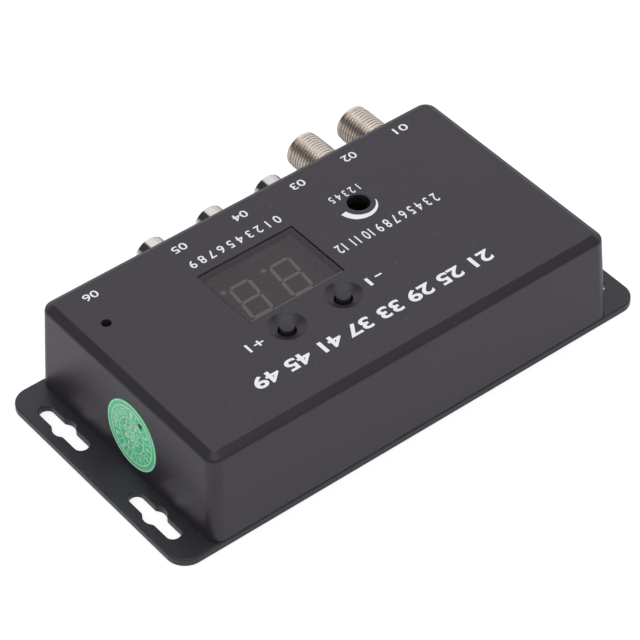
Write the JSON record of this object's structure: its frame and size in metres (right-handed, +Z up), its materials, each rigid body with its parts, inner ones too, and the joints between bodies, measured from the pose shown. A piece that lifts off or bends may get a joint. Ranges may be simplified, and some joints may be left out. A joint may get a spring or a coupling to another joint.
{
  "type": "rf modulator",
  "caption": "Radio frequency modulator in a flanged plastic case, with threaded aerial sockets, phono sockets, a power socket, channel display and buttons, and a level trimmer.",
  "frame": {"origin": "middle of the base plate's underside", "axes": "+X along the case towards the power socket's end, -Y towards the sockets, +Z up"},
  "size_m": [0.1342, 0.0788, 0.0269],
  "materials": {
    "housing_plastic": "fine moulded texture, charcoal",
    "base_plastic": "fine moulded texture, near black",
    "button_plastic": "satin, charcoal",
    "smoked_pane": "polished, smoke grey, see-through",
    "black_tape": "matt black adhesive",
    "display_face": "matt black print",
    "segment_resin": "milky resin, unlit",
    "black_moulding": "black moulding",
    "chip_resin": "dark moulding compound",
    "tinned_leads": "tinned",
    "stamped_steel": "stamped, plain",
    "dome_steel": "sprung, gilded",
    "trimmer_body": "blue moulding",
    "trimmer_white": "white moulding",
    "nickel_plate": "nickel plated",
    "white_insulator": "white moulding",
    "gilt_contact": "gold plated",
    "tinplate": "tinned sheet",
    "video_yellow": "yellow moulding",
    "left_white": "white moulding",
    "right_red": "red moulding",
    "lens_resin": "clear resin, unlit",
    "board_laminate": "green solder mask",
    "capacitor_sleeve": "dark shrink sleeve",
    "seal_rubber": "black rubber",
    "sticker_paper": "mint green printed film"
  },
  "bodies": {
    "case": {"top_housing": "housing_plastic", "base_plate": "base_plastic", "housing_screws": "stamped_steel", "board_screws": "stamped_steel", "display_window": "smoked_pane", "window_tape": "black_tape", "circuit_board": "board_laminate", "display_module": "display_face", "display_segments": "segment_resin", "display_pins": "tinned_leads", "display_sockets": "black_moulding", "channel_up_switch": "black_moulding", "channel_down_switch": "black_moulding", "channel_up_cover": "stamped_steel", "channel_down_cover": "stamped_steel", "channel_up_dome": "dome_steel", "channel_down_dome": "dome_steel", "switch_leads": "tinned_leads", "trimmer_base": "trimmer_body", "rf_in_barrel": "nickel_plate", "rf_out_barrel": "nickel_plate", "rf_in_insulator": "white_insulator", "rf_out_insulator": "white_insulator", "rf_in_contact": "gilt_contact", "rf_out_contact": "gilt_contact", "screening_can": "tinplate", "screening_lid": "tinplate", "video_jack_body": "video_yellow", "left_jack_body": "left_white", "right_jack_body": "right_red", "video_jack_sleeve": "nickel_plate", "left_jack_sleeve": "nickel_plate", "right_jack_sleeve": "nickel_plate", "video_jack_contact": "gilt_contact", "left_jack_contact": "gilt_contact", "right_jack_contact": "gilt_contact", "usb_shell": "nickel_plate", "usb_insulator": "black_moulding", "usb_contacts": "gilt_contact", "power_light_lens": "lens_resin", "power_light_leads": "tinned_leads", "power_light_spacer": "black_moulding", "controller_chip": "chip_resin", "modulator_chip": "chip_resin", "chip_leads": "tinned_leads", "crystal": "stamped_steel", "regulator": "chip_resin", "capacitors": "capacitor_sleeve", "capacitor_seals": "seal_rubber", "chip_resistors": "chip_resin", "inspection_sticker": "sticker_paper"},
    "channel_up_button": {"channel_up_button": "button_plastic"},
    "channel_down_button": {"channel_down_button": "button_plastic"},
    "trimmer_rotor": {"trimmer_rotor": "trimmer_white"}
  },
  "joints": [
    {"name": "channel_up_press", "type": "slide", "parent": "case", "child": "channel_up_button", "axis": [0, 0, -1], "range_m": [0, 0.00025], "stiffness_N_per_m": 1500, "springref_m": -0.0003, "deforming": ["channel_up_dome"]},
    {"name": "channel_down_press", "type": "slide", "parent": "case", "child": "channel_down_button", "axis": [0, 0, -1], "range_m": [0, 0.00025], "stiffness_N_per_m": 1500, "springref_m": -0.0003, "deforming": ["channel_down_dome"]},
    {"name": "trimmer_turn", "type": "hinge", "parent": "case", "child": "trimmer_rotor", "pos_m": [-0.0198, -0.0127, 0.0122], "axis": [0, 0, 1], "range_deg": [-105, 105]}
  ]
}
